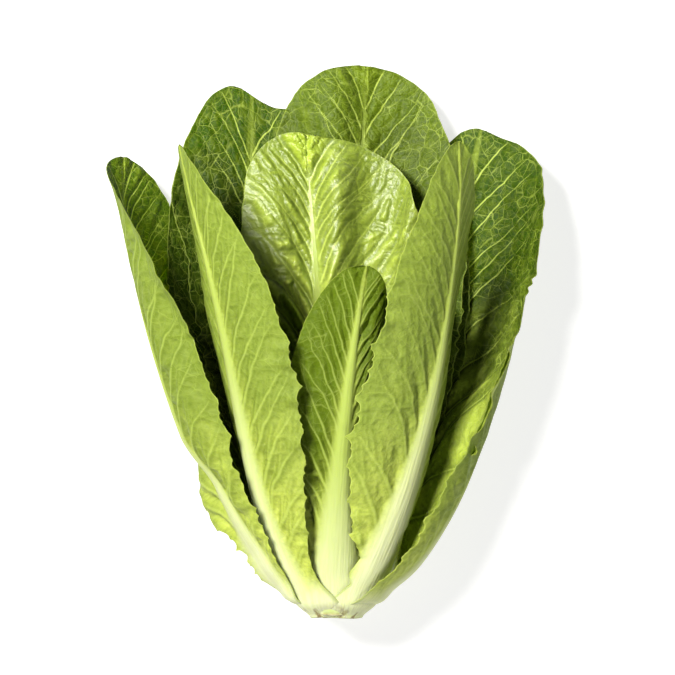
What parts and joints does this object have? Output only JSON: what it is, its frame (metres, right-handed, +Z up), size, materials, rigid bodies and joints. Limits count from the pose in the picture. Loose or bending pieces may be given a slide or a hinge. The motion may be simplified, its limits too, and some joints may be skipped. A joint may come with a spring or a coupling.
{
  "type": "romaine lettuce head",
  "caption": "Whole romaine lettuce head lying on its back: long upright leaves with pale broad ribs, nested round a short cut stem and fanned at the tips.",
  "frame": {"origin": "on the surface the head lies on, below the centre of its bounding box", "axes": "+Y runs along the head from the cut stem to the leaf tips, +Z is up, away from the surface, and +X is to the right seen from above"},
  "size_m": [0.2198, 0.28, 0.0924],
  "materials": {
    "outer_leaf": "waxy dark green leaf with a paler underside",
    "middle_leaf": "glossy light green leaf with cream ribs",
    "heart_leaf": "glossy yellow-green heart leaf",
    "stem": "moist cream cut stem"
  },
  "bodies": {
    "root": {"stem": "stem", "outer_leaf_back": "outer_leaf", "outer_leaf_left": "outer_leaf", "outer_leaf_right": "outer_leaf", "outer_leaf_back_left": "outer_leaf", "outer_leaf_back_right": "outer_leaf", "large_leaf_right": "outer_leaf", "folded_leaf_left": "outer_leaf", "back_leaf_left": "outer_leaf", "back_leaf_right": "outer_leaf", "back_leaf_tall": "outer_leaf", "front_leaf_left": "middle_leaf", "front_leaf_right": "middle_leaf", "inner_leaf_left": "middle_leaf", "inner_leaf_right": "middle_leaf", "glossy_heart_leaf": "middle_leaf", "front_heart_leaf": "heart_leaf", "side_heart_leaf_left": "heart_leaf", "side_heart_leaf_right": "heart_leaf", "heart_leaf_1": "heart_leaf", "heart_leaf_2": "heart_leaf", "heart_leaf_3": "heart_leaf", "heart_leaf_4": "heart_leaf", "heart_leaf_5": "heart_leaf"}
  },
  "joints": []
}
